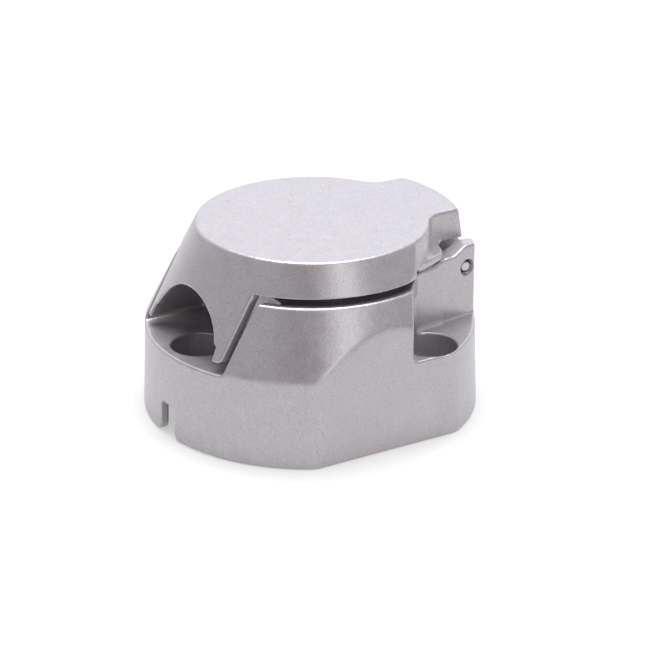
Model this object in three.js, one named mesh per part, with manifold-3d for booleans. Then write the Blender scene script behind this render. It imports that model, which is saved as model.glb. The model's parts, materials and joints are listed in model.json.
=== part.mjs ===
// Seven-way trailer socket: a die-cast housing with a sprung lid, in millimetres.
// +Z leaves the socket's mouth, +Y points to the hinge and Z = 0 is the mounting plane.
// The origin is the centre of the round base.

import * as THREE from 'three';
import { mergeVertices } from 'three/addons/utils/BufferGeometryUtils.js';
import Module from 'manifold-3d';

const wasm = await Module();
wasm.setup();

// Driving dimensions
const BASE_R = 40.1; // base radius on the mounting plane
const LEDGE_Z = 20.9; // top of the three screw ledges
const LEDGE_R = 39.5; // base radius at the ledges
const FLAT_X = 35.15; // half the width over the two flats
const BARREL_Y = 0.9; // the barrel stands this far towards the hinge
const TOP_Z = 46.3; // lid's top face
const LID_R = 27.8; // lid's top face radius
const SLOPE = 0.474; // outward slope of the cone that lid and housing share
const LID_EDGE_Z = 38.6;
const RIM_Z = 36.9; // housing's rim, under the lid's edge
const WALL = 2.2; // casting wall

const HOLE_SPACING = 56; // between the two side screw holes
const HOLE_HEIGHT = 46; // from the side holes to the front hole
const FRONT_HOLE_Y = -30.25;
const HOLE_R = 2.75;
const RECESS_R = 6.7;
const RECESS_DEPTH = 7;
const BOSS_R = 5.5;

const COLLAR_TOP = 39.5; // barrel's sealing edge, inside the lid
const COLLAR_R = 22.5;
const BORE_R = 19.5;
const COLLAR_REAR = 3; // rear end of the barrel
const SEAT_TOP = 16; // ring that carries the contact insert
const SEAT_REAR = 13;
const SEAT_R = 14.8;

const HINGE_Y = 33.05;
const HINGE_Z = 33.1;
const PIN_R = 1.25;
const CLEVIS_X = 13.4; // inner face of each hinge ear
const CLEVIS_Y = 25.5; // front of the space between the ears
const EAR_TOP = 38.8;
const NECK_X = 12.5; // half the width of the lid's neck
const FLANGE_Z = 37.6; // underside of the flange round the lid's waist
const FLANGE_TOP = 39.8;
const KNUCKLE_R = 4.5;
const KNUCKLE_X = 5.4; // inner face of each lid knuckle
const KNUCKLE_END = 10.2; // its outer face

const POCKET_X = 18.8; // half the width of the front screw pocket
const POCKET_BACK = -18.6;
const SKIRT_X = 17.2; // half the width of the lid's finger lift
const SKIRT_Z = 23.3; // its lower end
const ARCH_R = 15; // arch over the front screw
const ARCH_FOOT = 14.4; // half the width between the finger lift's legs

const CONTACT_R = 10.3; // circle of the six outer contacts
const SCREW_CIRCLE_R = 16.9; // circle of the three insert screws
const INSERT_TOP = 31;
const GAP = 0.3; // between pieces that touch
const ROUND = 60; // segments of the large round faces

const coneRadius = (z) => LID_R + SLOPE * (TOP_Z - z);
const SIDE_HOLE = [HOLE_SPACING / 2, FRONT_HOLE_Y + HOLE_HEIGHT];
const HOLES = [[0, FRONT_HOLE_Y], SIDE_HOLE, [-SIDE_HOLE[0], SIDE_HOLE[1]]];

// Finishes
const finish = (color, roughness, metalness) => new THREE.MeshStandardMaterial({ color, roughness, metalness });
const castAluminium = finish(0xb2aeb4, 0.42, 0.9);
const steel = finish(0xa8aaad, 0.3, 1);
const brass = finish(0xc9a353, 0.3, 1);
const blackPlastic = finish(0x1b1b1d, 0.55, 0);
const rubber = finish(0x141415, 0.8, 0);

// ---------- solids ----------

function solid(geometry) {
  const bare = geometry.clone();
  bare.deleteAttribute('normal');
  bare.deleteAttribute('uv');
  const merged = mergeVertices(bare, 1e-4);
  const mesh = new wasm.Mesh({
    numProp: 3,
    vertProperties: new Float32Array(merged.attributes.position.array),
    triVerts: new Uint32Array(merged.index.array),
  });
  return new wasm.Manifold(mesh);
}

function geometryOf(shape) {
  const mesh = shape.getMesh();
  const geometry = new THREE.BufferGeometry();
  geometry.setAttribute('position', new THREE.BufferAttribute(mesh.vertProperties, 3));
  geometry.setIndex(new THREE.BufferAttribute(mesh.triVerts, 1));
  geometry.computeVertexNormals();
  return geometry;
}

const join = (first, ...others) => others.reduce((sum, other) => sum.add(other), first);
const cut = (first, ...others) => others.reduce((rest, other) => rest.subtract(other), first);
const common = (first, ...others) => others.reduce((rest, other) => rest.intersect(other), first);

// A box between two corners
function box(x0, y0, z0, x1, y1, z1) {
  const geometry = new THREE.BoxGeometry(x1 - x0, y1 - y0, z1 - z0);
  return solid(geometry.translate((x0 + x1) / 2, (y0 + y1) / 2, (z0 + z1) / 2));
}

// A frustum along Z, from radius r0 at z0 to radius r1 at z1
function frustum(r0, z0, r1, z1, x = 0, y = 0, segments = ROUND) {
  const geometry = new THREE.CylinderGeometry(r1, r0, z1 - z0, segments);
  return solid(geometry.rotateX(Math.PI / 2).translate(x, y, (z0 + z1) / 2));
}

const post = (r, z0, z1, x = 0, y = 0, segments = 20) => frustum(r, z0, r, z1, x, y, segments);

// A cylinder along X
function rod(r, x0, x1, y, z, segments = 20) {
  const geometry = new THREE.CylinderGeometry(r, r, x1 - x0, segments);
  return solid(geometry.rotateZ(Math.PI / 2).translate((x0 + x1) / 2, y, z));
}

// A body turned about the Z axis, from [radius, z] points
function turned(profile, segments = 32) {
  const points = profile.map(([r, z]) => new THREE.Vector2(r, z));
  return solid(new THREE.LatheGeometry(points, segments).rotateX(Math.PI / 2));
}

// A prism along Z over a plan outline
function prism(outline, z0, z1, curveSegments = 12) {
  const geometry = new THREE.ExtrudeGeometry(outline, { depth: z1 - z0, bevelEnabled: false, curveSegments });
  return solid(geometry.translate(0, 0, z0));
}

// A prism along X over an outline drawn in Y and Z
function sideways(outline, x0, x1, curveSegments = 12) {
  const geometry = new THREE.ExtrudeGeometry(outline, { depth: x1 - x0, bevelEnabled: false, curveSegments });
  const [x, y, z] = [new THREE.Vector3(1, 0, 0), new THREE.Vector3(0, 1, 0), new THREE.Vector3(0, 0, 1)];
  const toX = new THREE.Matrix4().makeBasis(y, z, x);
  return solid(geometry.applyMatrix4(toX).translate(x0, 0, 0));
}

// Everything to the left of a line through (x, y) with the given heading, moved out by grow
function beyond(x, y, heading, grow, z0, z1) {
  const size = 120;
  const angle = THREE.MathUtils.degToRad(heading);
  const slab = new THREE.BoxGeometry(size, size, z1 - z0);
  slab.translate(0, size / 2 - grow, (z0 + z1) / 2);
  return solid(slab.rotateZ(angle).translate(x, y, 0));
}

const mirrored = (shape) => shape.mirror([1, 0, 0]);
const onBarrel = (shape) => shape.translate([0, BARREL_Y, 0]);

// ---------- housing ----------

// Round base with two flats; inset shrinks it to its inner surface
function baseBody(inset) {
  const draft = (BASE_R - LEDGE_R) / LEDGE_Z;
  const wall = frustum(BASE_R - inset, 0, BASE_R - draft * RIM_Z - inset, RIM_Z);
  const flats = box(-FLAT_X + inset, -BASE_R, -1, FLAT_X - inset, BASE_R, RIM_Z + 1);
  return common(wall, flats);
}

// The cone leans back: centred on the barrel at the lid's top and on the base at the ledges
const lean = (z) => BARREL_Y * (z - LEDGE_Z) / (TOP_Z - LEDGE_Z);

function cone(inset, z0, z1) {
  const geometry = new THREE.CylinderGeometry(coneRadius(z1) - inset, coneRadius(z0) - inset, z1 - z0, ROUND);
  geometry.rotateX(Math.PI / 2).translate(0, 0, (z0 + z1) / 2 - LEDGE_Z);
  const shear = new THREE.Matrix4().makeShear(0, 0, 0, 0, 0, BARREL_Y / (TOP_Z - LEDGE_Z));
  return solid(geometry.applyMatrix4(shear).translate(0, 0, LEDGE_Z));
}

// Walls of a side screw pocket on the +X side: the body, its rounded shoulder and the hinge bracket
const POCKET_WALLS = [[31.5, 7.9, -18.4], [31.5, 7.9, -39.9]];
const BRACKET_WALL = [20.3, 15.9, -81.9];

// Room over a side screw, with a scallop for its head
function sidePocket(grow) {
  const z0 = LEDGE_Z - grow;
  const sides = [...POCKET_WALLS, BRACKET_WALL].map(([x, y, heading]) => beyond(x, y, heading, grow, z0, 70));
  const scallop = post(RECESS_R + grow, z0, LEDGE_Z + 10 + grow, SIDE_HOLE[0], SIDE_HOLE[1], 28);
  return join(common(...sides), scallop);
}

function frontPocket(grow) {
  const room = box(-POCKET_X - grow, -60, LEDGE_Z - grow, POCKET_X + grow, POCKET_BACK + grow, 70);
  return cut(room, post(COLLAR_R, 0, 70, 0, BARREL_Y, ROUND));
}

// Block between the side pockets that carries the hinge ears; its top climbs towards them
function bracketBlock(inset) {
  const [x, y, heading] = BRACKET_WALL;
  const right = beyond(x, y, heading + 180, -inset, 0, 70);
  const side = new THREE.Shape();
  side.moveTo(12, LEDGE_Z - 1);
  side.lineTo(12, RIM_Z - 1.3 - inset);
  side.lineTo(17, RIM_Z - 1.1 - inset);
  side.lineTo(27, RIM_Z - inset);
  side.lineTo(27, LEDGE_Z - 1);
  return common(right, mirrored(right), baseBody(inset), sideways(side, -40, 40));
}

// The two ears, rounded over the hinge pin
function hingeEars() {
  const side = new THREE.Shape();
  side.moveTo(CLEVIS_Y - 1, LEDGE_Z);
  side.lineTo(CLEVIS_Y - 1, RIM_Z);
  side.lineTo(28.4, RIM_Z);
  side.bezierCurveTo(30.4, RIM_Z + 0.2, 30.6, EAR_TOP, 33, EAR_TOP);
  side.quadraticCurveTo(35.5, EAR_TOP, 41, EAR_TOP - 1.4);
  side.lineTo(41, LEDGE_Z);
  const [x, y, heading] = BRACKET_WALL;
  const inside = beyond(x, y, heading + 180, 0, 0, 70);
  const round = post(LEDGE_R, 0, 70, 0, 0, ROUND);
  return common(sideways(side, -40, 40), inside, mirrored(inside), round);
}

function screwBosses(r, z0, z1, segments) {
  return join(...HOLES.map(([x, y]) => post(r, z0, z1, x, y, segments)));
}

// Ribs in the rear, from the barrel to the outer wall
function ribs() {
  const headings = [0, 180, -52, -128, 66, 114];
  const plates = headings.map((heading) => {
    const plate = new THREE.BoxGeometry(BASE_R - BORE_R - 2, 2, RIM_Z);
    plate.translate((BASE_R + BORE_R) / 2, 0, RIM_Z / 2 + COLLAR_REAR);
    return solid(plate.rotateZ(THREE.MathUtils.degToRad(heading)));
  });
  return join(...plates);
}

// The hollow behind the outer wall, open at the rear
function rearHollow() {
  const roof = RIM_Z - 1.2 - WALL;
  const body = common(baseBody(WALL), cone(WALL * 1.11, -1, roof));
  const open = box(-60, -60, -1, 60, 60, roof);
  const bracket = bracketBlock(WALL);
  const ears = box(-60, CLEVIS_Y - WALL, LEDGE_Z - 3, 60, 60, 70);
  return cut(join(common(body, open), bracket),
    frontPocket(WALL), sidePocket(WALL), mirrored(sidePocket(WALL)), ears,
    post(COLLAR_R, 0, 70, 0, BARREL_Y, ROUND), ribs(),
    screwBosses(BOSS_R, -1, LEDGE_Z, 20),
    screwBosses(RECESS_R + WALL, LEDGE_Z - RECESS_DEPTH - WALL, LEDGE_Z, 28));
}

// Barrel's bore: plug room, seat opening and rear room, with the plug's key slot
function bore() {
  const key = box(-2.6, -BORE_R - 1.6, SEAT_TOP + 4, 2.6, 0, COLLAR_TOP + 1);
  const front = post(BORE_R, SEAT_TOP, COLLAR_TOP + 1, 0, 0, ROUND);
  const seat = post(SEAT_R, SEAT_REAR - 1, SEAT_TOP + 1, 0, 0, 48);
  const rear = post(BORE_R, -1, SEAT_REAR, 0, 0, ROUND);
  return onBarrel(join(front, seat, rear, key));
}

// Slot through the base wall that lets water out
function drain() {
  const outline = new THREE.Shape();
  outline.moveTo(-3.2, -1);
  outline.lineTo(-3.2, 0);
  outline.quadraticCurveTo(-1.8, 0.2, -1.7, 1.8);
  outline.lineTo(-1.7, 7.2);
  outline.quadraticCurveTo(-1.7, 8, -0.9, 8);
  outline.lineTo(2.6, 8);
  outline.quadraticCurveTo(4.4, 8, 4.4, 6.2);
  outline.lineTo(4.4, 1.8);
  outline.quadraticCurveTo(4.5, 0.2, 6.2, 0);
  outline.lineTo(6.2, -1);
  const geometry = new THREE.ExtrudeGeometry(outline, { depth: 8, bevelEnabled: false, curveSegments: 4 });
  return solid(geometry.rotateX(Math.PI / 2).translate(0, -36.2, 0));
}

const insertScrewPlaces = [90, 210, 330].map((heading) => {
  const angle = THREE.MathUtils.degToRad(heading);
  return [SCREW_CIRCLE_R * Math.cos(angle), BARREL_Y + SCREW_CIRCLE_R * Math.sin(angle)];
});

function housing() {
  const shell = common(baseBody(0), cone(0, -1, RIM_Z));
  const collar = post(COLLAR_R, 0, COLLAR_TOP, 0, BARREL_Y, ROUND);
  const trough = post(coneRadius(RIM_Z) - 2, RIM_Z - 1.2, RIM_Z + 1, 0, lean(RIM_Z), ROUND);
  const clevis = box(-CLEVIS_X, CLEVIS_Y, LEDGE_Z, CLEVIS_X, 60, 70);
  const behindEars = box(-60, CLEVIS_Y, LEDGE_Z, 60, 60, 70);
  const body = cut(join(cut(shell, trough), bracketBlock(0)),
    frontPocket(0), sidePocket(0), mirrored(sidePocket(0)), behindEars);
  const pinSeats = [-1, 1].map((side) => rod(1.95, side * 17.85 - 0.85, side * 17.85 + 0.85, HINGE_Y, HINGE_Z));
  const screwHoles = insertScrewPlaces.map(([x, y]) => post(1.5, SEAT_REAR - 1, SEAT_TOP + 1, x, y, 12));
  return cut(join(body, hingeEars(), collar),
    rearHollow(), bore(), clevis, drain(), ...screwHoles,
    post(COLLAR_R + 0.5, -1, COLLAR_REAR, 0, BARREL_Y, ROUND),
    screwBosses(HOLE_R, -2, LEDGE_Z + 1, 20),
    screwBosses(RECESS_R, LEDGE_Z - RECESS_DEPTH, LEDGE_Z + 0.5, 28),
    rod(PIN_R + GAP, -25, 25, HINGE_Y, HINGE_Z), ...pinSeats);
}

// ---------- lid ----------

// Plan outline of disc, waist and neck; the waist is the disc's own circle, then a small fillet
function lidOutline() {
  const outline = new THREE.Shape();
  outline.moveTo(45, -8);
  outline.lineTo(31.2, 7.3);
  outline.lineTo(28.8, 11.6);
  outline.lineTo(24.8, 14.3);
  outline.quadraticCurveTo(21.4, 20.2, 15.9, 23.4);
  outline.quadraticCurveTo(NECK_X + 0.2, 25.5, NECK_X, 29);
  outline.lineTo(NECK_X, 45);
  outline.lineTo(-NECK_X, 45);
  outline.lineTo(-NECK_X, 29);
  outline.quadraticCurveTo(-NECK_X - 0.2, 25.5, -15.9, 23.4);
  outline.quadraticCurveTo(-21.4, 20.2, -24.8, 14.3);
  outline.lineTo(-28.8, 11.6);
  outline.lineTo(-31.2, 7.3);
  outline.lineTo(-45, -8);
  outline.lineTo(-45, -45);
  outline.lineTo(45, -45);
  return outline;
}

// The waist spreads into a thin flange at the bottom
function flange() {
  const right = [[24.2, 14.5], [23.3, 17.1], [22.15, 20.2], [20.2, 24.1], [17.9, 25.8], [14.5, 26.8], [NECK_X, 27.9]];
  const left = right.map(([x, y]) => [-x, y]).reverse();
  const points = [...right, ...left].map(([x, y]) => new THREE.Vector2(x, y));
  return prism(new THREE.Shape(points), FLANGE_Z, FLANGE_TOP);
}

// The neck's end is turned about the barrel's axis, leans out towards the bottom and has a rounded top edge
function neckEnd() {
  return onBarrel(turned([[0, LID_EDGE_Z], [36.4, LID_EDGE_Z], [35.4, 44.9], [35.1, 45.8], [34.1, TOP_Z],
    [0, TOP_Z]], ROUND));
}

// Finger lift: a strip of the cone that reaches down over the front screw pocket
function skirt() {
  const shell = cut(cone(0, SKIRT_Z, LID_EDGE_Z + 1), cone(WALL * 1.11, SKIRT_Z - 1, LID_EDGE_Z + 2));
  const front = new THREE.Shape();
  front.moveTo(-SKIRT_X, LID_EDGE_Z + 1);
  front.lineTo(-SKIRT_X, SKIRT_Z + 1.1);
  front.quadraticCurveTo(-SKIRT_X, SKIRT_Z, -SKIRT_X + 1.1, SKIRT_Z);
  front.lineTo(SKIRT_X - 1.1, SKIRT_Z);
  front.quadraticCurveTo(SKIRT_X, SKIRT_Z, SKIRT_X, SKIRT_Z + 1.1);
  front.lineTo(SKIRT_X, LID_EDGE_Z + 1);
  const strip = new THREE.ExtrudeGeometry(front, { depth: 40, bevelEnabled: false, curveSegments: 4 });
  const arch = new THREE.CylinderGeometry(ARCH_R, ARCH_R, 40, 48).translate(0, -39, 0);
  const archCut = solid(arch.translate(0, 0, LEDGE_Z - 0.4));
  const foot = box(-ARCH_FOOT, -60, 0, ARCH_FOOT, -19, 26.4);
  return cut(common(shell, solid(strip.rotateX(Math.PI / 2).translate(0, -5, 0))), archCut, foot);
}

// Knuckles that turn on the hinge pin, each on a web below the neck
function knuckles() {
  const web = new THREE.Shape();
  web.moveTo(29.4, LID_EDGE_Z + 1);
  web.lineTo(29.2, 35);
  web.lineTo(HINGE_Y, HINGE_Z);
  web.lineTo(35.4, 36.6);
  web.lineTo(34.9, LID_EDGE_Z + 1);
  const turn = rod(KNUCKLE_R, KNUCKLE_X, KNUCKLE_END, HINGE_Y, HINGE_Z, 32);
  const one = join(sideways(web, KNUCKLE_X, KNUCKLE_END), turn);
  return join(one, mirrored(one));
}

// Hook inside the lid that keeps the plug from sliding out
function plugHook() {
  const side = new THREE.Shape();
  side.moveTo(6, 44.5);
  side.lineTo(6, 37.6);
  side.lineTo(8.2, 36.4);
  side.lineTo(10.4, 37.6);
  side.lineTo(9, 39.6);
  side.lineTo(9.4, 44.5);
  return sideways(side, -4.5, 4.5);
}

function lid() {
  const top = common(cone(0, LID_EDGE_Z, TOP_Z), prism(lidOutline(), LID_EDGE_Z - 1, TOP_Z + 1, 8));
  const strip = box(-20, 10, LID_EDGE_Z, 20, 50, TOP_Z);
  const neck = common(neckEnd(), strip, prism(lidOutline(), LID_EDGE_Z - 1, TOP_Z + 1, 8));
  const hollow = frustum(coneRadius(LID_EDGE_Z) - 2.6, LID_EDGE_Z - 1, coneRadius(TOP_Z) - 1.6, TOP_Z - 2.6,
    0, BARREL_Y);
  const shell = cut(join(top, neck, flange()), common(hollow, prism(insideOutline(), 0, TOP_Z)),
    post(COLLAR_R + 0.8, LID_EDGE_Z - 1, COLLAR_TOP + 0.6, 0, BARREL_Y, ROUND));
  const body = join(shell, skirt(), knuckles(), plugHook());
  return cut(body, rod(PIN_R + GAP, -25, 25, HINGE_Y, HINGE_Z));
}

// Plan outline of the lid's hollow, one wall inside the waist
function insideOutline() {
  const outline = new THREE.Shape();
  outline.moveTo(28.6, 6.6);
  outline.lineTo(22.8, 12.6);
  outline.quadraticCurveTo(18.6, 18, 11, 24.6);
  outline.lineTo(-11, 24.6);
  outline.quadraticCurveTo(-18.6, 18, -22.8, 12.6);
  outline.lineTo(-28.6, 6.6);
  outline.lineTo(-40, -4);
  outline.lineTo(-40, -45);
  outline.lineTo(40, -45);
  outline.lineTo(40, -4);
  return outline;
}

// Rubber disc under the lid with a bead that closes on the barrel
function lidSeal() {
  const top = TOP_Z - 2.6 - GAP;
  const disc = turned([[0, top - 2], [BORE_R - 0.6, top - 2], [BORE_R, COLLAR_TOP + GAP],
    [COLLAR_R - 0.6, COLLAR_TOP + GAP], [COLLAR_R, top - 2], [23.3, top - 2], [23.3, top], [0, top]], 40);
  return cut(onBarrel(disc), box(-4.5 - GAP, 6 - GAP, 30, 4.5 + GAP, 10.4 + GAP, 50));
}

// ---------- hinge pin and spring ----------

function hingePin() {
  const half = 17.2;
  const dome = 0.35;
  const outline = [[0, -half], [PIN_R - dome, -half], [PIN_R, dome - half], [PIN_R, half - dome],
    [PIN_R - dome, half], [0, half]];
  return turned(outline, 20).rotate([0, 90, 0]).translate([0, HINGE_Y, HINGE_Z]);
}

// Torsion spring round the pin, one leg on the housing and one under the lid
function lidSpring() {
  const coilR = 2.75;
  const turns = 6.411;
  const half = 4.4;
  const perTurn = 10;
  const points = [new THREE.Vector3(-half, HINGE_Y - 6.6, HINGE_Z - 4.4)];
  const start = THREE.MathUtils.degToRad(283.4);
  for (let i = 0; i <= turns * perTurn; i += 1) {
    const turn = start + (i / perTurn) * 2 * Math.PI;
    const x = -half + (2 * half * i) / (turns * perTurn);
    points.push(new THREE.Vector3(x, HINGE_Y + coilR * Math.cos(turn), HINGE_Z + coilR * Math.sin(turn)));
  }
  points.push(new THREE.Vector3(half, HINGE_Y - 4.4, HINGE_Z + 4.4));
  const path = new THREE.CatmullRomCurve3(points, false, 'centripetal');
  const wire = new THREE.Shape().absarc(0, 0, 0.45, 0, 2 * Math.PI);
  const options = { steps: points.length + 8, bevelEnabled: false, curveSegments: 3, extrudePath: path };
  return new THREE.ExtrudeGeometry(wire, options);
}

// ---------- contacts ----------

const contactPlaces = [...Array(6).keys()].map((i) => {
  const angle = THREE.MathUtils.degToRad(90 + 30 + 60 * i);
  return [CONTACT_R * Math.cos(angle), BARREL_Y + CONTACT_R * Math.sin(angle)];
});
contactPlaces.push([0, BARREL_Y]);

const CONTACT_REAR = 4.9;

// Moulded insert: floor on the seat ring, core with seven contact bores
function contactInsert() {
  const blank = turned([[0, 9], [SEAT_R - GAP, 9], [SEAT_R - GAP, SEAT_TOP + GAP], [BORE_R - GAP, SEAT_TOP + GAP],
    [BORE_R - GAP, 20], [14.5, 20], [14.4, INSERT_TOP - 0.6], [13.8, INSERT_TOP], [0, INSERT_TOP]], 48);
  const bores = contactPlaces.map(([x, y]) => post(3.1, 0, INSERT_TOP + 1, x, y, 16));
  const well = post(4.6, 22, INSERT_TOP + 1, 0, BARREL_Y, 24);
  const screwHoles = insertScrewPlaces.map(([x, y]) => post(1.5, 10, 21, x, y, 12));
  const key = box(-1.6, -16 + BARREL_Y, 20, 1.6, -13.4 + BARREL_Y, INSERT_TOP + 1);
  return cut(onBarrel(blank), ...bores, well, ...screwHoles, key);
}

// Wire hole across the tail and thread for the terminal screw
function tailHoles() {
  const wire = rod(1.1, -5, 5, 0, CONTACT_REAR + 2.1, 8);
  return join(wire, post(1.2, CONTACT_REAR - 1, CONTACT_REAR + 3.4, 0, 0, 10));
}

function contactSleeve() {
  const tube = turned([[0, CONTACT_REAR], [2.8, CONTACT_REAR], [2.8, INSERT_TOP - 0.6], [2.5, INSERT_TOP - 0.4],
    [2.1, INSERT_TOP - 0.8], [2.1, 13], [0, 13]], 16);
  return cut(tube, tailHoles());
}

function contactPin() {
  const pin = turned([[0, CONTACT_REAR], [2.8, CONTACT_REAR], [2.8, 23], [2, 23.4], [2, INSERT_TOP - 2.6],
    [1.4, INSERT_TOP - 1.6], [0, INSERT_TOP - 1.4]], 16);
  return cut(pin, tailHoles());
}

// A slotted screw with its head at the rear
function terminalScrew() {
  const seat = CONTACT_REAR - GAP;
  const blank = turned([[0, seat - 1.3], [2, seat - 1.3], [2.2, seat - 1.1], [2.2, seat], [0.9, seat],
    [0.9, CONTACT_REAR + 2.6], [0, CONTACT_REAR + 2.6]], 12);
  return cut(blank, box(-3, -0.3, seat - 2, 3, 0.3, seat - 0.7));
}

// A cross-slotted screw with its head towards the mouth
function insertScrew() {
  const seat = 20 + GAP;
  const blank = turned([[0, SEAT_REAR + 0.4], [1.2, SEAT_REAR + 0.4], [1.2, seat], [1.95, seat], [1.95, seat + 1],
    [1.4, seat + 1.5], [0, seat + 1.5]], 14);
  const slot = box(-1.3, -0.25, seat + 0.8, 1.3, 0.25, seat + 2);
  return cut(blank, slot, slot.rotate([0, 0, 90]));
}

// Rubber plug in the barrel's rear with a hole for the cable
function rearSeal() {
  const top = COLLAR_REAR - GAP;
  return onBarrel(turned([[5.2, 0.6], [COLLAR_R - 0.4, 0.6], [COLLAR_R - 0.4, top], [BORE_R - GAP, top],
    [BORE_R - 0.8, 6.2], [17.4, 6.2], [17.4, top - 0.2], [6.8, top - 0.2], [5.8, 4], [5.2, 4],
    [5.2, 0.6]], 36));
}

// ---------- assembly ----------

const socket = new THREE.Group();

function place(name, shape, material, x = 0, y = 0) {
  const mesh = new THREE.Mesh(shape.isBufferGeometry ? shape : geometryOf(shape), material);
  mesh.name = name;
  mesh.position.set(x, y, 0);
  socket.add(mesh);
}

place('housing', housing(), castAluminium);
place('lid', lid(), castAluminium);
place('lid_seal', lidSeal(), rubber);
place('hinge_pin', hingePin(), steel);
place('lid_spring', lidSpring(), steel);
place('contact_insert', contactInsert(), blackPlastic);
place('rear_seal', rearSeal(), rubber);

contactPlaces.forEach(([x, y], i) => {
  const centre = i === contactPlaces.length - 1;
  const name = centre ? `contact_pin_${i + 1}` : `contact_sleeve_${i + 1}`;
  place(name, centre ? contactPin() : contactSleeve(), brass, x, y);
  place(`terminal_screw_${i + 1}`, terminalScrew(), brass, x, y);
});

insertScrewPlaces.forEach(([x, y], i) => place(`insert_screw_${i + 1}`, insertScrew(), steel, x, y));

export default socket;
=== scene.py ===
"""Seven-way trailer socket: detailed meshes, materials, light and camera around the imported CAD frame.

Shapes are drawn as distance fields in millimetres, negative inside the metal, so that every edge can
be rounded and every inner corner filled as a casting's are. The finished meshes are in metres.
"""

import json
import math
from functools import reduce

import bpy
import numpy as np
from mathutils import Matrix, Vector


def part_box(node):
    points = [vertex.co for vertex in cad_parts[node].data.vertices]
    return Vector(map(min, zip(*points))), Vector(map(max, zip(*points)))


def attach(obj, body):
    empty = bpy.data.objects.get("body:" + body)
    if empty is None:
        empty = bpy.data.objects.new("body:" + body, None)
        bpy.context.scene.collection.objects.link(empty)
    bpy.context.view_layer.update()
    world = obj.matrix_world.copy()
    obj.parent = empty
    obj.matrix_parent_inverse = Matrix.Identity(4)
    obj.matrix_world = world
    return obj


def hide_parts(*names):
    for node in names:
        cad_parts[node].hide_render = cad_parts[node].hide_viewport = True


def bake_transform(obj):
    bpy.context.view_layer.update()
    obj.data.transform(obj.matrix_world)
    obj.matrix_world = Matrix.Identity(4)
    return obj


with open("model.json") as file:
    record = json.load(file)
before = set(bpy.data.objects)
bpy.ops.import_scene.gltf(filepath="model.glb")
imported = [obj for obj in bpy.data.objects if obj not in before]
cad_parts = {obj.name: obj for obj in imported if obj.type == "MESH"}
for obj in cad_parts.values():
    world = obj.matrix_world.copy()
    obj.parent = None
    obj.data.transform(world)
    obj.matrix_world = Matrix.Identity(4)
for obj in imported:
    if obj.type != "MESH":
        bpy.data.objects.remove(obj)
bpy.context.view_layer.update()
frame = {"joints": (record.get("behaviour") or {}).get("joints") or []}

MM = 0.001


def cad(node, side, axis):
    """One side of a CAD node's box, in millimetres; side 0 is the low one."""
    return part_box(node)[side]["xyz".index(axis)] / MM


# ---------- sizes, in millimetres ----------

BASE_R = cad("housing", 1, "y")
FLAT_X = cad("housing", 1, "x")
COLLAR_TOP = cad("housing", 1, "z")
TOP_Z = cad("lid", 1, "z")
SKIRT_Z = cad("lid", 0, "z")
PIN_HALF = cad("hinge_pin", 1, "x")
INSERT_REAR = cad("contact_insert", 0, "z")
INSERT_TOP = cad("contact_insert", 1, "z")
HINGE = frame["joints"][0]["pos_m"]
HINGE_Y = HINGE[1] / MM
HINGE_Z = HINGE[2] / MM

LEDGE_Z = 20.9
LEDGE_R = 39.5
BARREL_Y = 0.9
LID_R = 27.8
SLOPE = 0.474
LID_EDGE_Z = 38.6
RIM_Z = 36.9
WALL = 2.2
SCREW_HOLES = ((0, -30.25), (28, 15.75), (-28, 15.75))
HOLE_R = 2.75
RECESS_R = 6.7
RECESS_DEPTH = 7
BOSS_R = 5.5
COLLAR_R = 22.5
BORE_R = 19.5
COLLAR_REAR = 3
SEAT_TOP = 16
SEAT_REAR = 13
SEAT_R = 14.8
PIN_R = 1.25
CLEVIS_X = 13.4
CLEVIS_Y = 25.5
EAR_TOP = 38.8
KNUCKLE_R = 4.5
KNUCKLE_X = 5.4
KNUCKLE_END = 10.2
FLANGE_Z = 37.6
POCKET_X = 18.8
POCKET_BACK = -18.6
SKIRT_X = 17.2
ARCH_R = 15
ARCH_FOOT = 14.4
CONTACT_R = 10.3
SCREW_CIRCLE_R = 16.9
DRAIN_Y = 36.2
TROUGH_Y = 0.57
NECK_END_R = 36.4
NECK_FOOT_R = 35.4
NECK_END_Z = 45
CONTACT_REAR = 4.9
SPRING_HALF = 4.4
GAP = 0.3
INSET = 0.02  # keeps the housing just inside the CAD model's box

BODY_WALL = (31.5, 7.9, -18.4)  # a point on a side pocket's wall, and the wall's heading in degrees
SHOULDER_WALL = (31.5, 7.9, -39.9)
BRACKET_WALL = (20.3, 15.9, -81.9)

# ---------- distance fields ----------


class Lattice:
    """A regular lattice of points over a box, with x, y and z that broadcast against each other."""

    def __init__(self, low, high, step):
        self.low, self.step = np.array(low, float), step
        axes = [np.arange(a, b + step, step, dtype=np.float32) for a, b in zip(low, high)]
        self.x, self.y, self.z = (
            axes[0][:, None, None],
            axes[1][None, :, None],
            axes[2][None, None, :],
        )
        self.shape = tuple(len(a) for a in axes)


def both(*fields, r=0.0):
    """What is in every field, with outer edges rounded to radius r."""

    def pair(a, b):
        if not r:
            return np.maximum(a, b)
        corner = np.hypot(np.maximum(a + r, 0), np.maximum(b + r, 0))
        return np.minimum(np.maximum(a, b), -r) + corner

    return reduce(pair, fields)


def either(*fields, r=0.0):
    """What is in any field, with inner corners filled to radius r."""
    return -both(*(-f for f in fields), r=r)


def less(field, *cuts, r=0.0):
    """The field without the cuts, with the edges they leave rounded to radius r."""
    return both(field, *(-c for c in cuts), r=r)


def band(values, low, high):
    return np.maximum(low - values, values - high)


def block(g, low, high, r=0.0):
    sides = [band(v, a, b) for v, a, b in zip((g.x, g.y, g.z), low, high)]
    return both(*sides, r=r)


def post(g, radius, low, high, x=0.0, y=0.0, r=0.0):
    """A cylinder along Z."""
    return both(np.hypot(g.x - x, g.y - y) - radius, band(g.z, low, high), r=r)


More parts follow.
